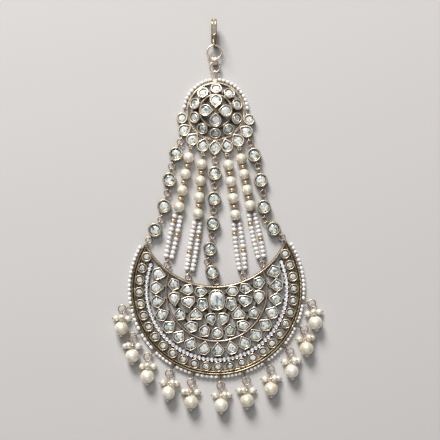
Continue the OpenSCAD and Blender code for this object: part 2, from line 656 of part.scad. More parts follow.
module medallion_rim_pearls() color(PEARL) placed_medallion() for (side = [0, 1])
    mirror([side, 0, 0])
        arc_tube(rim_pearls_at, rim_pearl_d / 2, rim_pearl_d, 4, 85 + (1 - 2 * side) * top_turn, 9);

// Chains: each unit is a deep setting with an eye at both ends, turned to lie between two jump rings
module chain_units(c) let (p = chain_points(c)) for (i = [0 : len(p) - 2])
    let (m = (p[i] + p[i + 1]) / 2) translate(m) rotate([0, 0, heading(p[i + 1] - p[i])]) children();
module chain_settings(c) color(GOLD) let (p = chain_points(c)) for (i = [0 : len(p) - 2])
    let (m = (p[i] + p[i + 1]) / 2, d = unit(p[i + 1] - p[i]), eye = norm(p[i + 1] - p[i]) / 2 - link_r) {
        translate(m) difference() {
            cylinder(h = unit_h, d = unit_d);
            translate([0, 0, unit_floor]) cylinder(h = unit_h, d = unit_d - 2 * unit_wall);
        }
        for (side = [-1, 1]) stemmed_eye(m + side * (unit_d / 2 - seat) * d, m + side * eye * d,
            link_z, heading(d));
    }
module chain_stones(c) color(STONE) chain_units(c)
    cut_stone(round_cut(unit_d - 2 * unit_wall - 2 * stone_gap), unit_floor + 0.05, unit_h - 0.45);
module chain_rings(c) color(GOLD) for (p = chain_points(c)) flat_ring(p, link_z, link_r, link_wire);

// Strands: drilled pearls and gold beads on a thread, then two strings of seed beads
module strand_pearl_row(s) color(PEARL) for (i = [0 : strand_pearls - 1])
    translate(strand_at(s, strand_first + i * strand_pitch(s)) + [0, 0, pearl_d / 2 - strand_eye_z])
        rotate([0, 90, heading(strand_dir(s))]) difference() {
            sphere(d = pearl_d);
            cylinder(h = 2 * pearl_d, r = bore_r, center = true);
        }
module strand_gold_row(s) color(GOLD) for (i = [0.5 : strand_pearls - 1.5])
    translate(strand_at(s, strand_first + i * strand_pitch(s))) rotate([0, 90, heading(strand_dir(s))])
        difference() {
            intersection() {
                sphere(d = gold_bead_d);
                cylinder(h = gold_bead_l, r = gold_bead_d, center = true);
            }
            cylinder(h = 2 * gold_bead_l, r = thread_r + clear, center = true);
        }
// A thin end of thread that stops just short of the string of seed beads that starts at a and runs to b
module fork(from, a, b) rod(from, a - (clear + fork_r) * unit(b - a), fork_r);
// The thread's upper loop and shaft with a knot that forks, and the loop that ends both strings
module strand_thread(s) color(GOLD) {
    top = lifted(seed_up(s), 0);
    upright_loop(strand_eye(s) + eye_r * strand_dir(s), strand_eye_z, heading(strand_dir(s)),
        loop_r, thread_r);
    knot = lifted(strand_last(s, fork_from), strand_eye_z);
    rod(strand_at(s, eye_r + loop_r), knot, thread_r);
    translate(knot) sphere(knot_r);
    for (side = [-1, 1]) let (route = seed_route(s, side)) fork(knot, route[0], route[1]);
    low = lifted(strand_ring(s) + link_r * seed_up(s), link_z);
    upright_loop(low, link_z, heading(seed_up(s)), loop_r, thread_r);
    tie = low + loop_r * top;
    for (side = [-1, 1]) let (route = seed_route(s, side), n = len(route))
        fork(tie, route[n - 1], route[n - 2]);
}
module strand_seeds(s) color(PEARL) for (side = [-1, 1]) tube(seed_route(s, side), seed_d / 2);
module strand_end_rings() color(GOLD) for (s = [0 : len(strands) - 1])
    flat_ring(strand_ring(s), link_z, link_r, link_wire);

// Drops
module drop_pearl(k) color(PEARL) translate(pearl_center(k)) difference() {
    sphere(d = drop_pearl_d);
    on_rod([0, 0, 0], pin_dir(k)) cylinder(h = 2 * drop_pearl_d, r = bore_r, center = true);
}
module drop_rings() color(GOLD) for (k = [0 : drop_count - 1])
    flat_ring(ring_center(k), link_z, drop_ring_r, link_wire);
module drop_pins() color(GOLD) for (k = [0 : drop_count - 1]) {
    upright_loop(ring_center(k) + drop_ring_r * drop_dir(k), link_z, drops[k][LEAN] - 90, loop_r, thread_r);
    rod(pin_start(k), pin_end(k), pin_r);
    on_rod(pearl_center(k) + (drop_pearl_d / 2 + cap_gap) * pin_dir(k), pin_dir(k))
        cylinder(h = cap_h, r = cap_r);
}
// A small pearl on a pin that rises from the origin and ends in a small head
module pinned_pearl(reach) rotate_extrude() intersection() {
    union() {
        translate([0, reach]) circle(d = bunch_pearl_d);
        translate([0, reach + bunch_head_up]) circle(pin_head_r);
        square([bunch_pin_r, reach]);
    }
    translate([0, -bunch_pearl_d]) square(3 * bunch_pearl_d);
}
module drop_bunches() color(PEARL) for (k = [0 : drop_count - 1]) {
    on_rod(bunch_center(k), pin_dir(k)) ring(bunch_ring_r, bunch_wire);
    for (i = [0 : 2]) let (offset = bunch_offset(k, i), dir = unit(offset))
        on_rod(bunch_center(k) + bunch_ring_r * dir, dir) pinned_pearl(norm(offset) - bunch_ring_r);
}

// Top fittings
module lower_ring() color(GOLD) flat_ring(lower_ring_at, top_z, lower_ring_r, lower_ring_wire);
module hook_ring() color(GOLD) flat_ring(hook_ring_at, top_z, hook_ring_r, hook_ring_wire);
module hook_link() color(GOLD) translate(lifted(band_link_at, top_z)) rotate([0, 90, top_lean])
    rotate_extrude() translate([band_link_r - band_link_wire, 0]) {
        for (side = [-1, 1]) translate([0, side * band_link_half]) circle(band_link_wire);
        translate([-0.56 * band_link_web, -band_link_half]) square([band_link_web, 2 * band_link_half]);
    }
module hair_hook() color(GOLD) {
    return_z = top_z + 2 * hook_bend_r;
    upright_loop(hook_eye_at, top_z, 90 + top_lean, hook_eye_r, hook_eye_wire);
    rod([hook_x, hook_collar_y, top_z], [hook_x, hook_collar_y + hook_collar_l, top_z], hook_collar_r);
    for (side = [-0.5, 0.5]) let (x = hook_x + side * hook_pair) {
        rod([x, hook_collar_y + 0.5, top_z], [x, hook_bend_y, top_z], hook_wire);
        translate([x, hook_bend_y, top_z + hook_bend_r]) rotate([0, 90, 0])
            rotate_extrude(angle = 180) translate([hook_bend_r, 0]) circle(hook_wire);
        rod([x, hook_bend_y, return_z], [x, hook_bend_y - hook_return, return_z], hook_wire);
    }
    translate([hook_x, hook_bend_y - hook_return, return_z]) rotate([0, 0, 180])
        rotate_extrude(angle = 180) translate([hook_pair / 2, 0]) circle(hook_wire);
}

placed() hair_hook();
placed() hook_ring();
placed() hook_link();
placed() lower_ring();
placed() medallion_frame();
placed() medallion_center_stones();
placed() medallion_round_stones();
placed() medallion_fringe_stones();
placed() medallion_rim_pearls();
placed() chain_settings(LEFT);  // left_chain_settings
placed() chain_stones(LEFT);  // left_chain_stones
placed() chain_rings(LEFT);  // left_chain_rings
placed() chain_settings(CENTER);  // center_chain_settings
placed() chain_stones(CENTER);  // center_chain_stones
placed() chain_rings(CENTER);  // center_chain_rings
placed() chain_settings(RIGHT);  // right_chain_settings
placed() chain_stones(RIGHT);  // right_chain_stones
placed() chain_rings(RIGHT);  // right_chain_rings
placed() strand_pearl_row(0);  // strand_1_pearls
placed() strand_gold_row(0);  // strand_1_gold_beads
placed() strand_thread(0);  // strand_1_thread
placed() strand_seeds(0);  // strand_1_seeds
placed() strand_pearl_row(1);  // strand_2_pearls
placed() strand_gold_row(1);  // strand_2_gold_beads
placed() strand_thread(1);  // strand_2_thread
placed() strand_seeds(1);  // strand_2_seeds
placed() strand_pearl_row(2);  // strand_3_pearls
placed() strand_gold_row(2);  // strand_3_gold_beads
placed() strand_thread(2);  // strand_3_thread
placed() strand_seeds(2);  // strand_3_seeds
placed() strand_pearl_row(3);  // strand_4_pearls
placed() strand_gold_row(3);  // strand_4_gold_beads
placed() strand_thread(3);  // strand_4_thread
placed() strand_seeds(3);  // strand_4_seeds
placed() strand_end_rings();
placed() crescent_frame();
placed() crescent_border_stones();
placed() crescent_kite_stones();
placed() crescent_field_stones();
placed() crescent_center_stone();
placed() crescent_crystal_row();
placed() crescent_rim_pearls();
placed() drop_pearl(0);  // drop_pearl_1
placed() drop_pearl(1);  // drop_pearl_2
placed() drop_pearl(2);  // drop_pearl_3
placed() drop_pearl(3);  // drop_pearl_4
placed() drop_pearl(4);  // drop_pearl_5
placed() drop_pearl(5);  // drop_pearl_6
placed() drop_pearl(6);  // drop_pearl_7
placed() drop_pearl(7);  // drop_pearl_8
placed() drop_pearl(8);  // drop_pearl_9
placed() drop_pearl(9);  // drop_pearl_10
placed() drop_pearl(10);  // drop_pearl_11
placed() drop_rings();
placed() drop_pins();
placed() drop_bunches();
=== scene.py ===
"""A jhoomar, the ornament that is worn at the side of the head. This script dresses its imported
model: cut stones and burnished bezels, crystals in their cups, pearls, seed beads, thread,
jump rings, and antique gilding, on a plain pale floor."""

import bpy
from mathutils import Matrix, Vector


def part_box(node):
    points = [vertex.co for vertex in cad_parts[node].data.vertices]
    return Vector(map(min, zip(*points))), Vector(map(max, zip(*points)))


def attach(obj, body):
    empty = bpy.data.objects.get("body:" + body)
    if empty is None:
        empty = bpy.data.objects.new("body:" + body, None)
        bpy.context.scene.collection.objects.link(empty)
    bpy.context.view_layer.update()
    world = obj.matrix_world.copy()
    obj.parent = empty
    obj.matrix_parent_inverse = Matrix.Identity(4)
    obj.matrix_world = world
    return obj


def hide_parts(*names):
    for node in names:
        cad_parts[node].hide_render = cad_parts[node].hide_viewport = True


bl_info = {
    "name": "Jhoomar",
    "version": (1, 0, 0),
    "blender": (4, 5, 0),
    "location": "3D View > Sidebar > Jhoomar",
    "description": "Stones, bezels, pearls, thread and gilding of a jhoomar hair ornament",
    "category": "Object",
}

import bpy
import numpy as np
from bpy.props import FloatProperty, FloatVectorProperty, PointerProperty

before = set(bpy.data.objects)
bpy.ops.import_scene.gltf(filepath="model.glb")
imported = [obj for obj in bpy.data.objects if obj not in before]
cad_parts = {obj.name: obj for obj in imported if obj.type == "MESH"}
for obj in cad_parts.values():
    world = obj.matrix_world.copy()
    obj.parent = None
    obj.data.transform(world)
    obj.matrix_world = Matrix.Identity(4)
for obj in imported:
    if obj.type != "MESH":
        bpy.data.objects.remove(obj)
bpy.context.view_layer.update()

MM = 0.001
UP = np.array([0.0, 0.0, 1.0])
CHAINS = ("left", "center", "right")
STRANDS = (1, 2, 3, 4)
DROPS = range(1, 12)
# The table of a cut stone as a share of its girdle
TABLE = 0.56


# Sizes and colours


def length(name, description, millimetres):
    """A size of the ornament, given in millimetres and kept in metres."""
    return FloatProperty(
        name=name,
        description=description,
        default=millimetres * MM,
        min=0.0,
        precision=5,
        step=0.001,
        unit="LENGTH",
    )


def colour(name, description, red, green, blue):
    """A linear colour of a finish."""
    return FloatVectorProperty(
        name=name,
        description=description,
        default=(red, green, blue),
        min=0.0,
        max=1.0,
        size=3,
        subtype="COLOR",
    )


class JhoomarSizes(bpy.types.PropertyGroup):
    """The sizes that the dressing adds to the solids."""

    lip: length("Bezel lip", "Radius of the burnished lip of a setting", 0.2)
    edge_wire: length("Edge wire", "Radius of the wire along the concave edge", 0.24)
    arc_wire: length("Arc wire", "Radius of the wire between the crescent's rows", 0.27)
    crystal_pitch: length("Crystal pitch", "Distance between two crystals", 1.68)
    rim_bead_pitch: length("Rim pearl pitch", "Distance between two rim pearls", 1.76)
    dome_bead_pitch: length("Dome pearl pitch", "Distance between two dome pearls", 1.74)
    seed_pitch: length("Seed bead pitch", "Distance between two seed beads", 1.72)
    thread: length("Thread", "Radius of the thread inside the beads", 0.17)
    collar_wire: length("Collar wire", "Radius of the wire round the hook's collar", 0.17)
    camera_height: length("Camera height", "Height of the camera above the floor", 420.0)
    frame_width: length("Frame width", "Width that the camera sees", 176.0)


class JhoomarColours(bpy.types.PropertyGroup):
    """The colours of the finishes."""

    # Gilt shows on the heights and where the gilding is worn bright. The dark colour below it shows
    # in the depths and low parts, where it is painted shade as well as the patina of antique
    # gilding.
    gilt: colour("Gilt", "Antique gold where it is rubbed bright", 0.66, 0.54, 0.34)
    tarnish_and_shade: colour("Tarnish", "Antique gold in the recesses", 0.06, 0.042, 0.026)
    wire: colour("Wire", "Browned gold of wires and rings", 0.8, 0.64, 0.5)
    dome: colour("Dome", "Gilding of the medallion", 0.72, 0.61, 0.46)
    border: colour("Border", "Bronze of the lips round the border stones", 0.78, 0.58, 0.4)
    lip: colour("Bezel lip", "Pale gold of the burnished lips", 0.95, 0.83, 0.68)
    # The stone colours are painted light. Glint, mint, teal and, in the stones, silver paint the
    # foil's glints and reflections under the facets into the base colour.
    glint: colour("Stone glint", "Brightest facets of a foiled stone", 0.97, 1.0, 0.98)
    mint: colour("Stone mint", "Pale facets of a foiled stone", 0.7, 0.8, 0.76)
    teal: colour("Stone teal", "Dark facets of a foiled stone", 0.11, 0.15, 0.15)
    silver: colour("Silver", "Cups of the crystals", 0.9, 0.88, 0.91)
    pearl: colour("Pearl", "Body of a large pearl", 0.97, 0.9, 0.77)
    pearl_shade: colour("Pearl shade", "Shade in a pearl", 0.84, 0.76, 0.58)
    seed: colour("Seed bead", "Body of a seed bead", 0.97, 0.92, 0.88)
    bead: colour("Gold bead", "Bright gold beads", 0.86, 0.62, 0.34)
    thread: colour("Thread", "Gold thread", 0.6, 0.42, 0.24)
    floor: colour("Floor", "Plain pale floor", 0.54, 0.525, 0.515)


# Places, read from the solids


def unit(v):
    """A vector, or each row of an array, divided by its length."""
    return v / np.linalg.norm(v, axis=-1, keepdims=True)


def solids(node):
    """The separate solids of a CAD node in millimetres, as corners and triangles. Equal corners
    are merged, then each corner takes the lowest number along its triangles until none changes."""
    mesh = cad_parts[node].data
    mesh.calc_loop_triangles()
    points = np.empty(len(mesh.vertices) * 3)
    mesh.vertices.foreach_get("co", points)
    faces = np.empty(len(mesh.loop_triangles) * 3, np.int32)
    mesh.loop_triangles.foreach_get("vertices", faces)
    points, merged = np.unique(np.round(points.reshape(-1, 3) / MM, 3), axis=0, return_inverse=True)
    faces = merged.reshape(-1)[faces.reshape(-1, 3)]
    label = np.arange(len(points))
    while True:
        lower = label.copy()
        for corner in range(3):
            np.minimum.at(lower, faces[:, corner], label[faces].min(axis=1))
        lower = lower[lower]
        if np.array_equal(lower, label):
            break
        label = lower
    owner = label[faces[:, 0]]
    return [(points[label == name], points[faces[owner == name]]) for name in np.unique(owner)]


def middles(node):
    """The middle of the box of each solid of a node."""
    return np.array([(points.min(0) + points.max(0)) / 2 for points, _ in solids(node)])


def circle_through(points):
    """Centre of the circle nearest to some points: the least-squares answer of
    x^2 + y^2 = 2ax + 2by + c."""
    table = np.c_[2 * points[:, :2], np.ones(len(points))]
    return np.linalg.lstsq(table, (points[:, :2] ** 2).sum(1), rcond=None)[0][:2]


def seats(node):
    """Where each stone of a node sits: its axis is the opposite of its largest flat face, its
    outline is its girdle, and its middle is where the girdle and the table both shrink to."""
    found = []
    for points, triangles in solids(node):
        crossed = np.cross(triangles[:, 1] - triangles[:, 0], triangles[:, 2] - triangles[:, 0])
        _, group = np.unique(np.round(unit(crossed), 2), axis=0, return_inverse=True)
        group = group.reshape(-1)
        area = np.bincount(group, weights=np.linalg.norm(crossed, axis=1))
        axis = -unit(crossed[group == area.argmax()].sum(0))
        across = unit(np.cross([0.0, 1.0, 0.0], axis))
        along = np.cross(axis, across)
        height = points @ axis
        low, top = height.min(), height.max()
        flat = np.c_[points @ across, points @ along]
        girdle = flat[(height > low + 0.2) & (height < top - 0.2)]
        table = flat[height > top - 0.1]
        middle = (table.mean(0) - TABLE * girdle.mean(0)) / (1 - TABLE)
        outline = girdle - middle
        outline = outline[np.argsort(np.arctan2(outline[:, 1], outline[:, 0]))]
        origin = middle[0] * across + middle[1] * along + low * axis
        found.append((origin, np.array([across, along, axis]), outline, top - low))
    return found


def route_of(points, order, sides=8):
    """The middle line of a swept tube: its corners, sorted along the tube, in rings of sides."""
    rows = points[np.argsort(order, kind="stable")]
    return rows.reshape(-1, sides, 3).mean(1)


def along_route(route, pitch, inset):
    """Points at an equal distance, near pitch, along a route, the first and last inset from its
    ends, and the direction at each."""
    steps = np.linalg.norm(np.diff(route, axis=0), axis=1)
    reach = np.r_[0.0, np.cumsum(steps)]
    count = max(2, int(round((reach[-1] - 2 * inset) / pitch)) + 1)
    stations = np.linspace(inset, reach[-1] - inset, count)
    at = np.stack([np.interp(stations, reach, route[:, i]) for i in range(3)], 1)
    return at, unit(np.gradient(at, axis=0))


# Shapes, in millimetres


class Shape:
    """Gathers the grids of one piece, with a tone and a place in the stone for each corner."""

    def __init__(self):
        self.points, self.faces, self.tone, self.cut, self.count = [], [], [], [], 0

    def add(self, points, faces, tone=0.5, cut=0.0):
        """Adds corners and lists of faces that count from these corners."""
        points = np.asarray(points).reshape(-1, 3)
        for block in faces:
            self.faces += (np.asarray(block) + self.count).tolist()
        self.points.append(points)
        self.tone.append(np.broadcast_to(tone, len(points)))
        self.cut.append(np.broadcast_to(cut, points.shape))
        self.count += len(points)


def grid(rows, columns, closed_rows=False):
    """Faces of a grid whose columns go round: row i and column j to the next of each."""
    steps = rows if closed_rows else rows - 1
    i, j = np.meshgrid(np.arange(steps), np.arange(columns), indexing="ij")
    following, beside = (i + 1) % rows, (j + 1) % columns
    near, far = i * columns, following * columns
    return np.stack((near + j, near + beside, far + beside, far + j), -1).reshape(-1, 4)


def ends(rows, columns):
    """The two faces that close a tube."""
    ring = np.arange(columns)
    return [ring[::-1]], [ring + (rows - 1) * columns]


def tube(path, radius, up=UP, sides=8, closed=False):
    """A circle of the given radius, or of a radius for each point, carried along a path at right
    angles to it."""
    path = np.asarray(path, float)
    if closed:
        ahead = np.roll(path, -1, 0) - np.roll(path, 1, 0)
    else:
        ahead = np.gradient(path, axis=0)
    ahead = unit(ahead)
    side = unit(np.cross(np.broadcast_to(up, path.shape), ahead))
    over = np.cross(ahead, side)
    a = np.arange(sides) * 2 * np.pi / sides
    reach = np.broadcast_to(radius, len(path))[:, None, None]
    around = np.cos(a)[:, None] * side[:, None] + np.sin(a)[:, None] * over[:, None]
    points = path[:, None] + reach * around
    faces = [grid(len(path), sides, closed)]
    if not closed:
        faces += ends(len(path), sides)
    return points, faces


def lathe(profile, sides, closed=True):
    """A profile of distances from the axis and heights, turned about the axis. The profile climbs
    on its outside. An open profile starts and ends near the axis, where a flat face closes it."""
    profile = np.asarray(profile, float)
    a = np.arange(sides) * 2 * np.pi / sides
    around = np.stack([np.cos(a), np.sin(a), 0 * a], -1)
    points = profile[:, :1, None] * around + profile[:, 1:, None] * UP
    faces = [grid(len(profile), sides, closed)]
    if not closed:
        faces += ends(len(profile), sides)
    return points.reshape(-1, 3), faces


def drilled(bore, arcs, sides, squash=1.0, full=1.0):
    """A bead of radius 1: half a circle from one edge of the bore to the other, then back through
    the bore, which is narrower a little way in, turned about the bore. A power below 1 on the
    distances from the bore fills the circle out towards a barrel."""
    start = np.arcsin(bore)
    a = np.linspace(start, np.pi - start, arcs)
    outside = np.c_[np.sin(a) ** full, -squash * np.cos(a)]
    narrow, way_in = 0.86 * bore, 0.93
    inner = np.array([[narrow, way_in * outside[-1, 1]], [narrow, way_in * outside[0, 1]]])
    return lathe(np.r_[outside, inner], sides)


def ball(arcs, sides):
    """A ball of radius 1 whose poles are small flat faces."""
    pole = 0.12
    a = np.linspace(pole, np.pi - pole, arcs)
    return lathe(np.c_[np.sin(a), -np.cos(a)], sides, closed=False)


def copies(shape, template, places, axes, sizes, tones, uneven=0.0, seed=1):
    """Copies of a template at many places: its own upright axis is laid along each given axis,
    it is scaled, and its surface swells unevenly by a slow wave in its own angles."""
    points, faces = template
    chance = np.random.default_rng(seed)
    places, axes = np.asarray(places), unit(np.broadcast_to(axes, np.shape(places)))
    sizes = np.broadcast_to(sizes, len(places))
    helper = np.where(np.abs(axes[:, 2:]) > 0.9, [[0.0, 1.0, 0.0]], [[0.0, 0.0, 1.0]])
    side = unit(np.cross(helper, axes))
    over = np.cross(axes, side)
    turned = chance.uniform(0, 2 * np.pi, (3, len(places), 1))
    waves = (np.sin(often * points[:, i] + turned[i]) for i, often in enumerate((3.1, 2.7, 2.3)))
    wave = 1 + uneven * sum(waves) / 2
    local = (points[None] * wave[..., None]) * sizes[:, None, None]
    placed = places[:, None] + local[..., :1] * side[:, None]
    placed = placed + local[..., 1:2] * over[:, None] + local[..., 2:] * axes[:, None]
    tones = np.broadcast_to(tones, len(places))
    for at, tone in zip(placed, tones):
        shape.add(at, faces, tone)


def rounded(outline, reach=0.25):
    """An outline whose corners are cut off at the given reach along each side, or at a third of
    the side where that is less."""
    side = np.roll(outline, -1, 0) - outline
    share = np.minimum(1 / 3, reach / np.linalg.norm(side, axis=1))[:, None]
    cut = np.stack([outline + share * side, outline + (1 - share) * side], 1)
    return cut.reshape(-1, 2)


def gem(shape, seat, chance):
    """A cut stone on a seat: rings of its outline, shrunk and lifted, joined by flat facets.
    Below are the back and the girdle. Above, each corner has a kite facet, each side has one small
    girdle facet and a star facet, and the table closes it."""
    origin, axes, outline, tall = seat
    n = len(outline)
    between = (outline + np.roll(outline, -1, 0)) / 2
    # Each ring and its height: the back, the girdle's two edges, the crown and the table
    rings = [
        (0.9 * outline, 0.0),
        (outline, 0.37 * tall),
        (outline, 0.44 * tall),
        (0.83 * between, 0.76 * tall),
        (TABLE * outline, tall),
    ]
    flat = np.concatenate([ring for ring, _ in rings])
    height = np.repeat([h for _, h in rings], n)
    points = origin + flat[:, :1] * axes[0] + flat[:, 1:] * axes[1] + height[:, None] * axes[2]
    i = np.arange(n)
    following, before = (i + 1) % n, (i - 1) % n
    low, crown, table = 2 * n, 3 * n, 4 * n
    faces = [
        [i[::-1]],
        grid(3, n),
        np.c_[low + i, low + following, crown + i],
        np.c_[low + i, crown + i, table + i, crown + before],
        np.c_[crown + i, table + following, table + i],
        [table + i],
    ]
    reach = np.abs(outline).max()
    place = np.c_[flat / reach, np.full(len(flat), chance.uniform(0, 40))]
    shape.add(points, faces, chance.uniform(0, 1), place)


def lip(shape, seat, outward, lift, radius, chance):
    """The burnished lip of a setting: a thin tube along the stone's rounded outline, moved
    outward to the middle of the wall, that dips and swells a little as handwork does."""
    origin, axes, outline, tall = seat
    reach = np.linalg.norm(outline, axis=1)
    is_round = np.ptp(reach) < 0.02 * reach.mean()
    if is_round:
        a = np.arange(28) * 2 * np.pi / 28
        path = (reach.mean() + outward) * np.c_[np.cos(a), np.sin(a)]
    else:
        path = rounded(outline * (1 + outward / reach.mean()))
    a = np.arctan2(path[:, 1], path[:, 0])
    turn = chance.uniform(0, 2 * np.pi, 3)
    dip = lift + tall + 0.03 * np.sin(2 * a + turn[0])
    swell = radius * (1 + 0.1 * np.sin(3 * a + turn[1]) + 0.07 * np.sin(7 * a + turn[2]))
    route = origin + path[:, :1] * axes[0] + path[:, 1:] * axes[1] + dip[:, None] * axes[2]
    shape.add(*tube(route, swell, axes[2], 7, closed=True), chance.uniform(0, 1))


def make(name, shape, finish, slot, *stands_for, sharp=40.0):
    mesh = bpy.data.meshes.new(name)
    mesh.from_pydata((np.concatenate(shape.points) * MM).tolist(), [], shape.faces)
    mesh.polygons.foreach_set("use_smooth", np.full(len(mesh.polygons), sharp > 0))
    if sharp > 0:
        mesh.set_sharp_from_angle(angle=np.radians(sharp))
    tone = mesh.attributes.new("tone", "FLOAT", "POINT")
    tone.data.foreach_set("value", np.concatenate(shape.tone).astype(np.float32))
    cut = mesh.attributes.new("cut", "FLOAT_VECTOR", "POINT")
    cut.data.foreach_set("vector", np.concatenate(shape.cut).astype(np.float32).reshape(-1))
    mesh.materials.append(finish)
    if mesh.validate():
        raise RuntimeError(f"{name} has a face that can't be built")
    piece = bpy.data.objects.new(name, mesh)
    bpy.context.scene.collection.objects.link(piece)
    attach(piece, "root")
    if stands_for:
        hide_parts(*stands_for)
    return piece


def dress(finish, *nodes):
    """Gives carried-over nodes a finish."""
    for node in nodes:
        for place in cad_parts[node].material_slots:
            place.material = finish


# Finishes


class Socket:
    """A socket of a material. Python's operators on it add the Math nodes that they name."""

    def __init__(self, tree, socket):
        self.tree = tree
        self.socket = socket

    def node(self, kind, settings, sockets, out=0):
        """Adds a node of any kind: first its settings, then the values or links of its sockets."""
        made = self.tree.nodes.new("ShaderNode" + kind)
        for name, value in settings.items():
            if name == "stops":
                elements = made.color_ramp.elements
                elements[0].position, elements[1].position = value[0][0], value[-1][0]
                elements[0].color, elements[1].color = (*value[0][1], 1), (*value[-1][1], 1)
                for place, shade in value[1:-1]:
                    elements.new(place).color = (*shade, 1)
            else:
                setattr(made, name, value)
        for name, value in sockets.items():
            inlet = made.inputs[name]
            if isinstance(value, Socket):
                self.tree.links.new(value.socket, inlet)
            elif inlet.type == "RGBA":
                inlet.default_value = (*value, 1)
            else:
                inlet.default_value = value
        return Socket(self.tree, made.outputs[out])

    def math(self, operation, *values):
        """A Math node on numbers or sockets."""
        return self.node("Math", {"operation": operation}, dict(enumerate(values)))

    def __add__(self, other):
        return self.math("ADD", self, other)

    def __radd__(self, other):
        return self.math("ADD", other, self)

    def __sub__(self, other):
        return self.math("SUBTRACT", self, other)

    def __rsub__(self, other):
        return self.math("SUBTRACT", other, self)

    def __mul__(self, other):
        return self.math("MULTIPLY", self, other)

    def __truediv__(self, other):
        return self.math("DIVIDE", self, other)

    def between(self, low, high):
        """0 below low, 1 above high, and a smooth climb between them."""
        sockets = {"Value": self, "From Min": low, "From Max": high}
        return self.node("MapRange", {"interpolation_type": "SMOOTHSTEP"}, sockets)

    def mix(self, low, high):
        """A colour between two others, this value of the way."""
        return self.node("Mix", {"data_type": "RGBA"}, {0: self, 6: low, 7: high}, 2)

    def noise(self, scale, detail):
        """Cloudy noise on this place, with scale clouds to its unit."""
        return self.node("TexNoise", {}, {"Vector": self, "Scale": scale, "Detail": detail})

    def axis(self, number):
        """One coordinate of this place."""
        return self.node("SeparateXYZ", {}, {0: self}, number)

    def attribute(self, name, out=2):
        """An attribute of the piece: its value, or with out 1 its vector."""
        return self.node("Attribute", {"attribute_name": name}, {}, out)


def finish(name, recipe, constants, bump):
    """A material. The recipe gets the place on the object in millimetres and returns what varies
    over the surface by socket name, with the height of its relief under Relief. The constants are
    set on the shader, and bump is the relief's strength and its depth in millimetres."""
    made = bpy.data.materials.new(name)
    made.use_nodes = True
    tree = made.node_tree
    shader = tree.nodes["Principled BSDF"]
    for socket, value in constants.items():
        shader.inputs[socket].default_value = value
    metres = Socket(tree, tree.nodes.new("ShaderNodeTexCoord").outputs["Object"])
    place = metres.node("VectorMath", {"operation": "SCALE"}, {0: metres, "Scale": 1 / MM})
    varying = recipe(place)
    relief = varying.pop("Relief")
    strength, depth = bump
    sockets = {"Height": relief, "Strength": strength, "Distance": depth * MM}
    varying["Normal"] = place.node("Bump", {}, sockets)
    for socket, value in varying.items():
        tree.links.new(value.socket, shader.inputs[socket])
    return made


def gilt_recipe(colours, bright, high):
    """Antique gilding: bright on the heights and brown in the depths, where the brown is painted
    shade as well as patina, with cloudy tarnished patches and fine rub marks. high turns a place
    into 0 at the bottom and 1 at the top of the work."""

    def recipe(place):
        clouds = place.noise(0.55, 4.0)
        grain = place.noise(6.0, 3.0)
        # Painted shade: by their height, low places and recesses go towards the dark colour, mixed
        # with cloudy patina and rub marks.
        rubbed_and_unshaded = (high(place) + (clouds - 0.5) * 1.1 + (grain - 0.5) * 0.5).between(0.3, 1.1)
        return {
            "Base Color": rubbed_and_unshaded.mix(colours.tarnish_and_shade, bright),
            "Roughness": 0.56 - rubbed_and_unshaded * 0.26 + (grain - 0.5) * 0.18,
            "Relief": grain * 0.6 + place.noise(1.6, 2.0),
        }

    return recipe


def by_height(low, high):
    """The share of the way from one height to another."""
    return lambda place: (place.axis(2) - low) / (high - low)


def by_tone(share, foot):
    """The height of a piece that is bright all over: a share of its own tone over a foot."""
    return lambda place: place.attribute("tone") * share + foot


def over_dome(centre, radius, foot, rise, low, high):
    """The share of the way from low to high above the dome's own ground, which is a bowl turned
    over: the foot plus the rise times one less the square of the distance over the radius."""

    def share(place):
        x = (place.axis(0) - centre[0]) / radius
        y = (place.axis(1) - centre[1]) / radius
        bowl = 1 - x * x - y * y
        ground = place.math("MAXIMUM", bowl, 0.0) * rise + foot
        return (place.axis(2) - ground - low) / (high - low)

    return share


def stone_recipe(colours):
    """Foiled glass, its light painted in: broken patches of mint, white and dark teal that follow
    each stone's own place, brighter and darker from facet to facet, are painted reflections and
    glints of the foil, and each stone is painted darker towards its rim as shade."""

    def recipe(place):
        cut = place.attribute("cut", 1)
        x, y = cut.axis(0), cut.axis(1)
        blocky = {"distance": "MANHATTAN"}
        cells = place.node("TexVoronoi", blocky, {"Vector": cut, "Scale": 2.0}, 1)
        fine = place.node("TexVoronoi", {}, {"Vector": cut, "Scale": 4.3}, 1).axis(1)
        # Painted shade: darker towards the rim of each stone.
        edge = (x * x + y * y).between(0.3, 1.0)
        light = cells.axis(0) * 0.62 + fine * 0.36 + place.attribute("tone") * 0.12 - edge * 0.1
        # Painted reflections and glints: the ramp turns the patches into the colours of the lit and
        # shaded foil.
        tones = [
            (0.15, tuple(colours.teal)),
            (0.34, tuple(0.5 * a + 0.5 * b for a, b in zip(colours.teal, colours.mint))),
            (0.48, tuple(colours.mint)),
            (0.7, tuple(colours.silver)),
            (0.8, tuple(colours.glint)),
        ]
        return {
            "Base Color": place.node("ValToRGB", {"stops": tones}, {0: light}),
            "Roughness": 0.08 + fine * 0.14,
            "Relief": place.noise(3.0, 1.0),
        }

    return recipe


def nacre_recipe(body, shade, size):
    """Nacre: a cream body with faint greenish clouds, a little darker from bead to bead."""

    def recipe(place):
        clouds = place.noise(0.5 / size, 3.0)
        tone = place.attribute("tone")
        mixed = (clouds * 0.8 + tone * 0.5).between(0.35, 0.95)
        return {
            "Base Color": mixed.mix(body, shade),
            "Roughness": 0.27 + clouds * 0.14,
            "Relief": place.noise(1.4 / size, 2.0),
        }

    return recipe


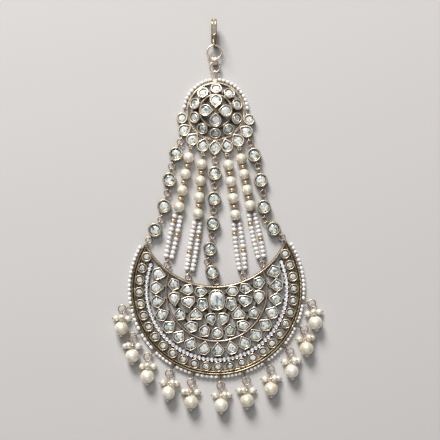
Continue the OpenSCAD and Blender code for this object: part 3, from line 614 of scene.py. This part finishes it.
def plain_recipe(low, high, shade, scale):
    """Two close colours in fine grain, the lower one darkened by a shade."""

    def recipe(place):
        grain = place.noise(scale, 3.0)
        tone = place.attribute("tone")
        mixed = (grain * 0.8 + tone * 0.2).between(0.3, 0.75)
        return {
            "Base Color": mixed.mix(darker(low, shade), high),
            "Roughness": 0.2 + grain * 0.2,
            "Relief": grain,
        }

    return recipe


def darker(shade, by):
    """A colour times a number."""
    return tuple(by * value for value in shade)


FINISHES = {}


def choose(name):
    """The finish of that name, made once."""
    if name in FINISHES:
        return FINISHES[name]
    colours = bpy.context.scene.jhoomar_colours
    centre = circle_through(middles("medallion_round_stones"))
    # The dome's gilding darkens by height over the dome's own bowl, so its hollows take painted
    # shade as well as patina.
    dome = over_dome(centre, radius=11.6, foot=0.7, rise=4.0, low=-1.3, high=0.6)
    olive, dull = darker(colours.lip, 0.76), darker(colours.gilt, 0.75)
    # By name: the recipe, the constants, and the strength of the relief and its depth
    recipes = {
        # gilt, dome_gilt, wire and hook are darker low down and in the recesses by their height:
        # painted shade as well as patina.
        "gilt": (
            gilt_recipe(colours, colours.gilt, by_height(0.6, 2.5)),
            {"Metallic": 1.0},
            (0.35, 0.06),
        ),
        "dome_gilt": (
            gilt_recipe(colours, colours.dome, dome),
            {"Metallic": 0.75},
            (0.35, 0.06),
        ),
        "lip": (
            gilt_recipe(colours, colours.lip, by_tone(0.3, 0.95)),
            {"Metallic": 0.65},
            (0.25, 0.04),
        ),
        "chain": (
            gilt_recipe(colours, olive, by_tone(0.4, 0.8)),
            {"Metallic": 0.7},
            (0.3, 0.05),
        ),
        "border": (
            gilt_recipe(colours, colours.border, by_tone(0.4, 0.8)),
            {"Metallic": 0.7},
            (0.3, 0.05),
        ),
        "wire": (
            gilt_recipe(colours, colours.wire, by_height(0.2, 2.2)),
            {"Metallic": 0.8},
            (0.25, 0.04),
        ),
        "hook": (
            gilt_recipe(colours, dull, by_height(0.4, 3.4)),
            {"Metallic": 1.0},
            (0.3, 0.05),
        ),
        "stone": (
            stone_recipe(colours),
            {"Metallic": 0.3, "Coat Weight": 0.6, "Coat Roughness": 0.03},
            (0.05, 0.03),
        ),
        "silver": (
            plain_recipe(colours.silver, colours.silver, 0.8, 3.0),
            {"Metallic": 0.35},
            (0.2, 0.04),
        ),
        # Painted glints: the crystals' grain mixes darkened silver with white glint.
        "crystal": (
            plain_recipe(colours.silver, colours.glint, 0.7, 1.5),
            {"Metallic": 0.2, "Coat Weight": 1.0, "Coat Roughness": 0.03},
            (0.05, 0.03),
        ),
        "pearl": (
            nacre_recipe(colours.pearl, colours.pearl_shade, 2.2),
            {"IOR": 1.6, "Coat Weight": 1.0, "Coat Roughness": 0.05, "Metallic": 0.4},
            (0.05, 0.05),
        ),
        "seed": (
            nacre_recipe(colours.seed, darker(colours.seed, 0.8), 1.0),
            {"IOR": 1.6, "Coat Weight": 0.8, "Coat Roughness": 0.08, "Metallic": 0.2},
            (0.08, 0.05),
        ),
        "bead": (
            plain_recipe(colours.bead, colours.bead, 0.6, 2.0),
            {"Metallic": 0.75},
            (0.15, 0.04),
        ),
        "thread": (
            plain_recipe(colours.thread, colours.thread, 0.4, 4.0),
            {"Metallic": 0.6},
            (0.4, 0.05),
        ),
    }
    recipe, constants, bump = recipes[name]
    FINISHES[name] = finish(name, recipe, constants, bump)
    return FINISHES[name]


def sizes():
    """The sizes in millimetres, by name."""
    group = bpy.context.scene.jhoomar_sizes
    return {name: getattr(group, name) / MM for name in group.__annotations__}


# Pieces


class JHOOMAR_OT_frames(bpy.types.Operator):
    """Gild the pierced frames of the crescent and the medallion and the settings of the chains"""

    bl_idname = "jhoomar.frames"
    bl_label = "Gilt frames"

    def execute(self, context):
        dress(choose("gilt"), "crescent_frame", *[f"{c}_chain_settings" for c in CHAINS])
        dress(choose("dome_gilt"), "medallion_frame")
        return {"FINISHED"}


class JHOOMAR_OT_stones(bpy.types.Operator):
    """Cut the foiled stones of the crescent, the medallion and the chains"""

    bl_idname = "jhoomar.stones"
    bl_label = "Cut stones"

    nodes = (
        "crescent_border_stones",
        "crescent_kite_stones",
        "crescent_field_stones",
        "crescent_center_stone",
        "medallion_center_stones",
        "medallion_round_stones",
        "medallion_fringe_stones",
        *[f"{c}_chain_stones" for c in CHAINS],
    )

    def execute(self, context):
        chance = np.random.default_rng(11)
        for node in self.nodes:
            shape = Shape()
            for seat in seats(node):
                gem(shape, seat, chance)
            make(node.replace("stone", "gem"), shape, choose("stone"), "stone", node, sharp=0)
        return {"FINISHED"}


class JHOOMAR_OT_lips(bpy.types.Operator):
    """Burnish a lip round every setting"""

    bl_idname = "jhoomar.lips"
    bl_label = "Bezel lips"

    field_nodes = ("crescent_kite_stones", "crescent_field_stones")
    dome_nodes = ("medallion_center_stones", "medallion_round_stones")

    def execute(self, context):
        chance = np.random.default_rng(12)
        radius = sizes()["lip"]
        for name, tone, outward, lift, nodes in (
            ("border_lips", "border", 0.305, 0.12, ("crescent_border_stones",)),
            ("field_lips", "lip", 0.305, 0.12, self.field_nodes),
            ("centre_lip", "lip", 0.33, -0.18, ("crescent_center_stone",)),
            ("dome_lips", "lip", 0.305, 0.07, self.dome_nodes),
            ("fringe_lips", "lip", 0.305, 0.12, ("medallion_fringe_stones",)),
            ("chain_lips", "chain", 0.355, 0.37, tuple(f"{c}_chain_stones" for c in CHAINS)),
        ):
            shape = Shape()
            for node in nodes:
                for seat in seats(node):
                    lip(shape, seat, outward, lift, radius, chance)
            make(name, shape, choose(tone), "gold", sharp=80)
        return {"FINISHED"}


class JHOOMAR_OT_edges(bpy.types.Operator):
    """Lay the round wires on the crescent's concave edge and on the arc between its rows"""

    bl_idname = "jhoomar.edges"
    bl_label = "Edge wires"

    # Each wire's size, how far its arc's middle stands above the crescent's, the arc's radius and
    # its reach to each side of straight down. The crescent lies turned by lean degrees.
    arcs = (("edge_wire", 32.1, 31.1, 59.5), ("arc_wire", -0.4, 20.2, 95.0))
    lean = 1.2
    level = 1.86

    def execute(self, context):
        centre = circle_through(middles("crescent_border_stones"))
        turn = np.radians(self.lean)
        upward = np.array([-np.sin(turn), np.cos(turn)])
        shape = Shape()
        for name, rise, radius, sweep in self.arcs:
            a = np.radians(np.linspace(270 - sweep, 270 + sweep, 121)) + turn
            middle = centre + rise * upward
            flat = middle + radius * np.c_[np.cos(a), np.sin(a)]
            shape.add(*tube(np.c_[flat, np.full(len(a), self.level)], sizes()[name]))
        make("crescent_edge_wires", shape, choose("wire"), "gold", sharp=80)
        return {"FINISHED"}


class JHOOMAR_OT_crystals(bpy.types.Operator):
    """Set the row of tiny crystals in its silver cups"""

    bl_idname = "jhoomar.crystals"
    bl_label = "Crystal row"

    # Distances from the axis and heights of a cup's wall and of the crystal in it, and the height
    # of the foot of the cups
    cup = (
        (0.5, 0.0),
        (0.78, 0.0),
        (0.82, 0.4),
        (0.82, 0.98),
        (0.74, 1.12),
        (0.63, 1.05),
        (0.61, 0.7),
        (0.5, 0.2),
    )
    crystal = ((0.4, 0.3), (0.58, 0.7), (0.58, 0.95), (0.32, 1.2))
    foot = 0.62
    inset = 0.75

    def execute(self, context):
        centre = circle_through(middles("crescent_border_stones"))
        points = np.concatenate([p for p, _ in solids("crescent_crystal_row")])
        around = np.arctan2(-(points[:, 0] - centre[0]), -(points[:, 1] - centre[1]))
        route = route_of(points, around)
        a = np.linspace(around.min(), around.max(), 240)
        radius = np.linalg.norm(route[:, :2] - centre, axis=1).mean()
        flat = centre - radius * np.c_[np.sin(a), np.cos(a)]
        arc = np.c_[flat, np.full(len(a), self.foot)]
        at, _ = along_route(arc, sizes()["crystal_pitch"], self.inset)
        chance = np.random.default_rng(13)
        cups, stones = Shape(), Shape()
        tones = chance.uniform(0, 1, len(at))
        copies(cups, lathe(self.cup, 12), at, UP, 1.0, tones)
        template = lathe(self.crystal, 8, closed=False)
        copies(stones, template, at, UP, 1.0, tones)
        local = np.tile(template[0] / template[0][:, :2].max(), (len(at), 1))
        local[:, 2] = np.repeat(chance.uniform(0, 40, len(at)), len(template[0]))
        stones.cut = [local]
        make("crystal_cups", cups, choose("silver"), "crystal", "crescent_crystal_row")
        make("crystals", stones, choose("crystal"), "crystal", sharp=0)
        return {"FINISHED"}


class JHOOMAR_OT_rim_pearls(bpy.types.Operator):
    """String the seed pearls round the crescent's rim and over the medallion"""

    bl_idname = "jhoomar.rim_pearls"
    bl_label = "Rim pearls"

    # The largest radius of a pearl, and how far the first and last stand from the ends of a row
    radius = 0.785
    inset = 0.78

    def execute(self, context):
        chance = np.random.default_rng(14)
        for node, stones, pitch in (
            ("crescent_rim_pearls", "crescent_border_stones", "rim_bead_pitch"),
            ("medallion_rim_pearls", "medallion_round_stones", "dome_bead_pitch"),
        ):
            centre = circle_through(middles(stones))
            shape, wires = Shape(), Shape()
            for points, _ in solids(node):
                out = unit(points[:, :2].mean(0) - centre)
                local = (points[:, :2] - centre) @ np.array([[out[0], -out[1]], [out[1], out[0]]])
                around, reach = np.arctan2(local[:, 1], local[:, 0]), np.linalg.norm(local, axis=1)
                a = np.linspace(around.min(), around.max(), 40) + np.arctan2(out[1], out[0])
                far = (reach.min() + reach.max()) / 2
                level = (points[:, 2].min() + points[:, 2].max()) / 2
                flat = centre + far * np.c_[np.cos(a), np.sin(a)]
                arc = np.c_[flat, np.full(len(a), level)]
                at, along = along_route(arc, sizes()[pitch], self.inset)
                step = np.linalg.norm(at[1] - at[0])
                template = drilled(0.3, 6, 10, 0.49 * step / self.radius, 0.7)
                width = chance.uniform(0.95, 1.0, len(at)) * self.radius
                tones = chance.uniform(0, 1, len(at))
                copies(shape, template, at, along, width, tones, 0.012, len(at))
                wires.add(*tube(arc, sizes()["thread"]))
            name = node.replace("rim_pearls", "")
            make(name + "seed_pearls", shape, choose("seed"), "seed_pearl", node)
            make(name + "pearl_wire", wires, choose("thread"), "thread_gold")
        return {"FINISHED"}


class JHOOMAR_OT_strands(bpy.types.Operator):
    """Thread the four strands: pearls, gold beads and the pairs of seed-bead strings"""

    bl_idname = "jhoomar.strands"
    bl_label = "Strands"

    # Where the gold bead stands in each string of a strand, left then right, as a share of its
    # beads
    golden = ((0.09, 0.5), (0.64, 0.31), (0.18, 0.6), (0.19, 0.59))
    # Radii of a pearl, of a gold bead and of one among the seed beads, and how far the first and
    # last seed stand from the ends of a string
    pearl_r = 2.175
    bead_r = 1.15
    seed_gold_r = 1.1
    inset = 0.8

    def execute(self, context):
        chance = np.random.default_rng(15)
        for s in STRANDS:
            pearls, beads = middles(f"strand_{s}_pearls"), middles(f"strand_{s}_gold_beads")
            ahead = unit(pearls[pearls[:, 1].argmin()] - pearls[pearls[:, 1].argmax()])
            shape = Shape()
            template = drilled(0.19, 22, 32)
            copies(shape, template, pearls, ahead, self.pearl_r, chance.uniform(0, 1, 4), 0.007, s)
            make(f"strand_{s}_pearl_beads", shape, choose("pearl"), "pearl", f"strand_{s}_pearls")
            shape = Shape()
            template = drilled(0.3, 10, 20, 0.7)
            copies(shape, template, beads, ahead, self.bead_r, chance.uniform(0, 1, 3), 0.01, s)
            stood_for = f"strand_{s}_gold_beads"
            make(f"strand_{s}_bright_beads", shape, choose("bead"), "gold", stood_for)
            seeds, golds, cores = Shape(), Shape(), Shape()
            routes = [route_of(points, -points[:, 1]) for points, _ in solids(f"strand_{s}_seeds")]
            routes.sort(key=lambda route: route[:, 0].mean())
            for route, share in zip(routes, self.golden[s - 1]):
                at, along = along_route(route, sizes()["seed_pitch"], self.inset)
                gold = np.zeros(len(at), bool)
                gold[int(round(share * (len(at) - 1)))] = True
                plain = ~gold
                step = np.linalg.norm(at[1] - at[0])
                width = chance.uniform(1.02, 1.1, len(at))
                template = drilled(0.26, 6, 12, 0.48 * step, 0.82)
                tones = chance.uniform(0, 1, len(at))
                seed_at, seed_along, seed_width = at[plain], along[plain], width[plain]
                copies(seeds, template, seed_at, seed_along, seed_width, tones[plain], 0.03, s)
                template = drilled(0.3, 9, 16, 0.75)
                copies(golds, template, at[gold], along[gold], self.seed_gold_r, 0.5)
                cores.add(*tube(route, sizes()["thread"]))
            make(f"strand_{s}_seed_beads", seeds, choose("seed"), "seed_pearl", f"strand_{s}_seeds")
            make(f"strand_{s}_seed_golds", golds, choose("bead"), "gold")
            make(f"strand_{s}_seed_thread", cores, choose("thread"), "thread_gold")
        dress(choose("thread"), *[f"strand_{s}_thread" for s in STRANDS])
        return {"FINISHED"}


class JHOOMAR_OT_drops(bpy.types.Operator):
    """Hang the eleven pearl drops: the large pearl, its pin, and the bunch of small pearls"""

    bl_idname = "jhoomar.drops"
    bl_label = "Drops"

    # The side of each bunch on which two of its pearls lie, from the left drop to the right: -1
    # left, 1 right, 0 neither. Then how far across its pin and above it each small pearl lies.
    pairs = (0, -1, 0, 1, -1, 1, -1, 1, 1, 1, 0)
    plan = ((-2.35, -0.5), (2.35, -0.5), (0.0, 1.95))
    pair_plan = ((-2.35, -0.5), (2.86, -0.5), (1.45, 1.85))
    # The domed cap under a pearl
    cap = (
        (0.3, 0.0),
        (0.62, 0.02),
        (0.78, 0.14),
        (0.8, 0.3),
        (0.7, 0.5),
        (0.48, 0.64),
        (0.3, 0.68),
    )
    # Radii of the large and small pearls, of a bunch's ring and its wire, and of a small pearl's
    # pin and its head
    pearl_r, small_r = 2.77, 1.3
    bunch_ring_r, bunch_wire = 0.65, 0.17
    small_pin_r, small_head_r = 0.14, 0.3
    # Out from the jump ring: the middle of the pin's loop and the start of the pin. Radii of the
    # loop, its wire and the pin
    loop_at, pin_from = 1.55, 2.15
    loop_r, loop_wire, pin_r = 0.6, 0.2, 0.24
    # Along the pin from the middle of the pearl: up to the bunch, then down to the cap, to the
    # end bead and to the end of the pin
    bunch_up = 3.98
    cap_down, bead_down, pin_down = 2.82, 3.44, 3.5
    end_bead_r = 0.26

    def execute(self, context):
        chance = np.random.default_rng(16)
        rings = middles("drop_rings")
        pearls = np.array([middles(f"drop_pearl_{k}")[0] for k in DROPS])
        rings = rings[rings[:, 0].argsort()]
        down = unit((pearls - rings) * [1, 1, 0])
        start = rings + self.pin_from * down
        axis = unit(pearls - start)
        side = np.cross(UP, down)
        for k, (at, along) in enumerate(zip(pearls, axis)):
            shape = Shape()
            template = drilled(0.15, 26, 36)
            copies(shape, template, [at], [along], self.pearl_r, [chance.uniform(0, 1)], 0.007, k)
            make(f"drop_{k + 1}_pearl_bead", shape, choose("pearl"), "pearl", f"drop_pearl_{k + 1}")
        turns = np.arange(24) * 2 * np.pi / 24
        circle = np.stack([np.cos(turns), np.sin(turns)], 1)
        bunch = pearls - self.bunch_up * axis
        above = np.cross(axis, side)
        pair = np.array(self.pairs)[:, None]
        small, pins, heads = Shape(), Shape(), Shape()
        for (across, rise), (pair_across, pair_rise) in zip(self.plan, self.pair_plan):
            shift = np.where(pair == 0, across, pair * pair_across) * side
            shift = shift + np.where(pair == 0, rise, pair_rise) * above
            heading = unit(shift)
            at = bunch + shift
            tones, seed = chance.uniform(0, 1, len(at)), int(40 + 10 * across)
            copies(small, drilled(0.17, 12, 20), at, heading, self.small_r, tones, 0.02, seed)
            head = at + (self.small_r + self.small_head_r / 2) * heading
            copies(pins, ball(8, 12), head, heading, self.small_head_r, 0.7)
            for a, b in zip(bunch + self.bunch_ring_r * heading, head):
                aside = unit(np.cross(b - a, [0.3, 0.5, 0.1]))
                pins.add(*tube(np.linspace(a, b, 3), self.small_pin_r, aside, 8), 0.5)
        for at, along, across, over in zip(bunch, axis, side, above):
            path = at + self.bunch_ring_r * (circle[:, :1] * across + circle[:, 1:] * over)
            pins.add(*tube(path, self.bunch_wire, along, 8, closed=True), 0.5)
        for ring, ahead, across, foot, along, at in zip(rings, down, side, start, axis, pearls):
            loop = circle[:, :1] * ahead + circle[:, 1:] * UP
            path = ring + self.loop_at * ahead + self.loop_r * loop
            heads.add(*tube(path, self.loop_wire, across, 8, closed=True), 0.5)
            rod = np.linspace(foot, at + self.pin_down * along, 3)
            heads.add(*tube(rod, self.pin_r, across, 10), 0.5)
        tones = chance.uniform(0.3, 1, len(pearls))
        copies(heads, lathe(self.cap, 20), pearls + self.cap_down * axis, axis, 1.0, tones)
        copies(heads, ball(8, 14), pearls + self.bead_down * axis, axis, self.end_bead_r, 0.0)
        make("bunch_pearls", small, choose("pearl"), "pearl", "drop_bunches")
        make("bunch_pins", pins, choose("wire"), "gold")
        make("drop_head_pins", heads, choose("wire"), "gold", "drop_pins")
        dress(choose("wire"), "drop_rings")
        return {"FINISHED"}


class JHOOMAR_OT_rings(bpy.types.Operator):
    """Finish the jump rings of the chains and the strands"""

    bl_idname = "jhoomar.rings"
    bl_label = "Jump rings"

    def execute(self, context):
        fittings = ("strand_end_rings", "hook_ring", "lower_ring", "hook_link")
        dress(choose("wire"), *fittings, *[f"{c}_chain_rings" for c in CHAINS])
        return {"FINISHED"}


class JHOOMAR_OT_hook(bpy.types.Operator):
    """Wrap the collar of the hair hook in wire"""

    bl_idname = "jhoomar.hook"
    bl_label = "Hair hook"

    # The collar: how far above the hook's lowest point the wire starts and how far it climbs, the
    # height and radius of its middle line, and its turns
    wrap_from, climb = 2.08, 1.26
    level, radius, turns = 2.0, 1.0, 4.5

    def execute(self, context):
        dress(choose("hook"), "hair_hook")
        low, high = (np.array(corner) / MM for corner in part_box("hair_hook"))
        middle = (low[0] + high[0]) / 2
        t = np.linspace(0, 1, 120)
        a = 2 * np.pi * self.turns * t
        x, z = middle + self.radius * np.cos(a), self.level + self.radius * np.sin(a)
        path = np.c_[x, low[1] + self.wrap_from + self.climb * t, z]
        shape = Shape()
        shape.add(*tube(path, sizes()["collar_wire"], [0.0, 1.0, 0.0]))
        make("hook_wrap", shape, choose("hook"), "gold", sharp=80)
        return {"FINISHED"}


class JHOOMAR_OT_stage(bpy.types.Operator):
    """Lay the plain pale floor, hang the soft lights and set up the camera"""

    bl_idname = "jhoomar.stage"
    bl_label = "Stage"

    # Half the floor's width and its height in metres, and the turns of its corners
    floor_half, floor_z = 1.5, -0.0002
    turns = ((-1, -1), (1, -1), (1, 1), (-1, 1))
    # Place in metres, power in watts, width in metres and tint of each light
    lights = (
        ("key", (-0.33, 1.08, 0.76), 29.0, 0.5, (1.0, 0.98, 0.96)),
        ("above", (-0.1, 0.5, 1.3), 4.4, 0.6, (0.98, 0.99, 1.0)),
        ("fill", (0.2, -1.0, 0.75), 3.6, 1.6, (0.95, 0.97, 1.0)),
    )
    # The camera: the width of its sensor, its place over the floor and the level it frames
    sensor, spot, framed = 36.0, (0.96, -1.19), 1.5

    def execute(self, context):
        scene = context.scene
        colours = scene.jhoomar_colours

        def paper(place):
            grain = place.noise(0.8, 4.0)
            return {
                "Base Color": grain.mix(darker(colours.floor, 0.97), colours.floor),
                "Roughness": 0.8 + grain * 0.1,
                "Relief": grain,
            }

        mesh = bpy.data.meshes.new("floor")
        corners = [(x * self.floor_half, y * self.floor_half, self.floor_z) for x, y in self.turns]
        mesh.from_pydata(corners, [], [(0, 1, 2, 3)])
        mesh.materials.append(finish("floor", paper, {"Metallic": 0.0}, (0.05, 0.1)))
        floor = bpy.data.objects.new("floor", mesh)
        scene.collection.objects.link(floor)

        world = bpy.data.worlds.new("studio")
        world.use_nodes = True
        sky = world.node_tree.nodes["Background"].inputs
        sky["Color"].default_value = (0.93, 0.97, 1.0, 1.0)
        sky["Strength"].default_value = 0.07
        scene.world = world
        scene.view_settings.view_transform = "Standard"

        for name, place, power, width, tint in self.lights:
            lamp = bpy.data.lights.new(name, "AREA")
            lamp.energy, lamp.size, lamp.color = power, width, tint
            light = bpy.data.objects.new(name, lamp)
            light.location = place
            aim = -unit(np.array(place))
            light.rotation_euler = (np.arccos(-aim[2]), 0.0, np.arctan2(aim[1], aim[0]) - np.pi / 2)
            scene.collection.objects.link(light)

        camera = bpy.data.cameras.new("above")
        height, width = sizes()["camera_height"], sizes()["frame_width"]
        camera.sensor_width = self.sensor
        camera.lens = self.sensor * (height - self.framed) / width
        camera.clip_start, camera.clip_end = 0.01, 10.0
        eye = bpy.data.objects.new("above", camera)
        eye.location = (self.spot[0] * MM, self.spot[1] * MM, height * MM)
        scene.collection.objects.link(eye)
        scene.camera = eye
        return {"FINISHED"}


PIECES = (
    JHOOMAR_OT_frames,
    JHOOMAR_OT_stones,
    JHOOMAR_OT_lips,
    JHOOMAR_OT_edges,
    JHOOMAR_OT_crystals,
    JHOOMAR_OT_rim_pearls,
    JHOOMAR_OT_strands,
    JHOOMAR_OT_drops,
    JHOOMAR_OT_rings,
    JHOOMAR_OT_hook,
    JHOOMAR_OT_stage,
)


class JHOOMAR_PT_panel(bpy.types.Panel):
    """The steps that dress the ornament, with its sizes and colours"""

    bl_idname = "JHOOMAR_PT_panel"
    bl_label = "Jhoomar"
    bl_space_type = "VIEW_3D"
    bl_region_type = "UI"
    bl_category = "Jhoomar"

    def draw(self, context):
        column = self.layout.column()
        for piece in PIECES:
            column.operator(piece.bl_idname)
        for group in (context.scene.jhoomar_sizes, context.scene.jhoomar_colours):
            for name in group.__annotations__:
                column.prop(group, name)


CLASSES = (JhoomarSizes, JhoomarColours, *PIECES, JHOOMAR_PT_panel)


def register():
    """Makes the sizes, colours, steps and panel known."""
    for kind in CLASSES:
        bpy.utils.register_class(kind)
    bpy.types.Scene.jhoomar_sizes = PointerProperty(type=JhoomarSizes)
    bpy.types.Scene.jhoomar_colours = PointerProperty(type=JhoomarColours)


def unregister():
    """Takes them away again."""
    del bpy.types.Scene.jhoomar_colours
    del bpy.types.Scene.jhoomar_sizes
    for kind in reversed(CLASSES):
        bpy.utils.unregister_class(kind)


def main():
    """Runs every step in order."""
    register()
    for piece in PIECES:
        family, step = piece.bl_idname.split(".")
        getattr(getattr(bpy.ops, family), step)()


if __name__ == "__main__":
    main()
